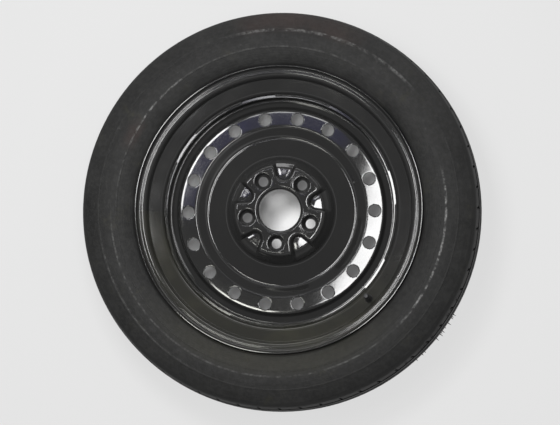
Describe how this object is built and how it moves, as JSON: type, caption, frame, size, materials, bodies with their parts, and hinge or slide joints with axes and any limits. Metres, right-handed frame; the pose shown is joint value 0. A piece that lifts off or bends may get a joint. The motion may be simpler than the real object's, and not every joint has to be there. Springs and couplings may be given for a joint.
{
  "type": "space saver spare wheel",
  "caption": "Narrow temporary spare wheel: a slim tyre on a black pressed steel rim and vented disc with a raised hub pad, nut seats and a snap-in valve.",
  "frame": {"origin": "the wheel's centre: on its axis, half way between the tyre's two sidewalls", "axes": "+Z along the wheel's axis out of its outer face, which is the side with the hub pad and the valve; +X through a vent"},
  "size_m": [0.689, 0.689, 0.145],
  "materials": {
    "tyre": "matte",
    "black_paint": "gloss",
    "valve_rubber": "satin",
    "seal_rubber": "matte",
    "brass": "satin",
    "spring_steel": "satin",
    "cap_plastic": "satin"
  },
  "bodies": {
    "wheel": {"tyre": "tyre", "rim": "black_paint", "disc": "black_paint", "weld_beads": "black_paint", "valve_body": "valve_rubber", "valve_stem": "brass", "core_plug": "brass", "core_barrel": "brass", "core_gasket": "seal_rubber", "core_spring": "spring_steel"},
    "core_plunger": {"core_pin": "brass", "plunger_seal": "seal_rubber"},
    "cap_carrier": {"cap_seal": "seal_rubber"},
    "cap": {"valve_cap": "cap_plastic"}
  },
  "joints": [
    {"name": "pin_press", "type": "slide", "parent": "wheel", "child": "core_plunger", "axis": [0.1573, -0.1573, -0.9749], "range_m": [0, 0.0015], "stiffness_N_per_m": 1200, "springref_m": -0.002, "deforming": ["core_spring"]},
    {"name": "cap_lift", "type": "slide", "parent": "wheel", "child": "cap_carrier", "axis": [-0.1573, 0.1573, 0.9749], "range_m": [0, 0.00794]},
    {"name": "cap_turn", "type": "hinge", "parent": "cap_carrier", "child": "cap", "pos_m": [0.15333, -0.15333, 0.03712], "axis": [-0.1573, 0.1573, 0.9749], "range_deg": [0, 3610]}
  ],
  "couplings": [
    {"joint": "cap_turn", "follows": "cap_lift", "rad_per_m": 7913.3}
  ]
}
